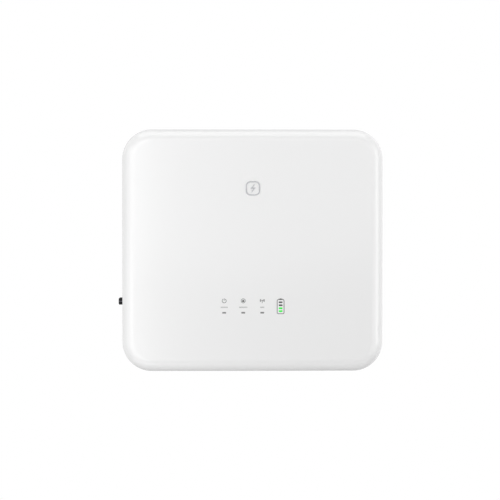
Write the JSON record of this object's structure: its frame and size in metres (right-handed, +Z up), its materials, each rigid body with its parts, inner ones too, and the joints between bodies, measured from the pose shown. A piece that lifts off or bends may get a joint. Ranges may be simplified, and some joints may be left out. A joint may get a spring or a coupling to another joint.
{
  "type": "wall battery unit",
  "caption": "Wall-hung home battery with built-in inverter: domed white cover, finned metal back, indicator lights and a side isolator.",
  "frame": {"origin": "centre of the wall bracket's four wall fixings, on the wall's face", "axes": "+X to the right seen from the front, +Y into the wall, +Z up"},
  "size_m": [0.5074, 0.221, 0.46],
  "materials": {
    "cover_white": "white satin-gloss coat on a moulded shell",
    "housing_grey": "powder-coated aluminium, fine texture",
    "heat_sink_alloy": "extruded, matt anodised",
    "zinc_steel": "zinc-plated sheet steel",
    "fastener_steel": "stainless",
    "seal_rubber": "matt",
    "buffer_rubber": "matt",
    "black_plastic": "fine moulded texture",
    "switch_plastic": "moulded",
    "pointer_grey": "moulded",
    "lens_dark": "unlit light pipe",
    "lens_green": "lit light pipe",
    "badge_metal": "satin chrome",
    "board_green": "solder mask",
    "cell_film": "blue film on an aluminium can",
    "bare_alloy": "machined",
    "insulator_sheet": "sheet",
    "copper_bar": "tinned copper",
    "band_steel": "bright strip",
    "choke_core": "ferrite ring wound with enamelled wire",
    "capacitor_sleeve": "heat-shrunk sleeve",
    "module_epoxy": "moulded epoxy",
    "terminal_grey": "moulded",
    "fuse_ceramic": "glazed tube on tinned blades",
    "cable_red": "insulated cable",
    "cable_black": "insulated cable",
    "earth_brass": "brass"
  },
  "bodies": {
    "root": {"ac_terminal_block": "terminal_grey", "backup_lens": "lens_dark", "badge": "badge_metal", "breather_valve": "black_plastic", "button_spring": "fastener_steel", "cable_glands": "black_plastic", "cell_1": "cell_film", "cell_2": "cell_film", "cell_3": "cell_film", "cell_4": "cell_film", "cell_5": "cell_film", "cell_6": "cell_film", "cell_7": "cell_film", "cell_8": "cell_film", "cell_busbars": "copper_bar", "cell_insulators": "insulator_sheet", "cell_monitor_board": "board_green", "charge_lens_1": "lens_green", "charge_lens_2": "lens_green", "charge_lens_3": "lens_dark", "charge_lens_4": "lens_dark", "comms_lens": "lens_dark", "cover_gasket": "seal_rubber", "dc_connector_negative": "black_plastic", "dc_connector_positive": "black_plastic", "dc_link_capacitors": "capacitor_sleeve", "earth_stud": "earth_brass", "filter_chokes": "choke_core", "front_cover": "cover_white", "hanger_rail": "zinc_steel", "heat_sink": "heat_sink_alloy", "heat_sink_gasket": "seal_rubber", "housing_flange": "housing_grey", "indicator_board": "board_green", "inverter_board": "board_green", "isolator_bezel": "black_plastic", "isolator_body": "switch_plastic", "isolator_contacts": "copper_bar", "isolator_seal": "seal_rubber", "locknuts": "black_plastic", "m3_screws": "fastener_steel", "m4_screws": "fastener_steel", "main_fuse": "fuse_ceramic", "main_relay": "terminal_grey", "negative_cable": "cable_black", "pack_bands": "band_steel", "pack_end_plates": "bare_alloy", "pack_shelf": "zinc_steel", "positive_cable": "cable_red", "power_lens": "lens_dark", "power_modules": "module_epoxy", "rear_housing": "housing_grey", "start_switch": "black_plastic", "wall_bracket": "zinc_steel", "wall_buffers": "buffer_rubber"},
    "isolator": {"isolator_knob": "black_plastic", "knob_pointer": "pointer_grey", "isolator_shaft": "zinc_steel", "isolator_rotor": "black_plastic"},
    "start_button": {"start_button": "switch_plastic"}
  },
  "joints": [
    {"name": "isolator_turn", "type": "hinge", "parent": "root", "child": "isolator", "pos_m": [-0.245, -0.085, -0.2212], "axis": [-1, 0, 0], "range_deg": [0, 90]},
    {"name": "start_button_press", "type": "slide", "parent": "root", "child": "start_button", "axis": [0, 0, 1], "range_m": [0, 0.0025], "stiffness_N_per_m": 600, "springref_m": -0.001, "deforming": ["button_spring"]}
  ]
}
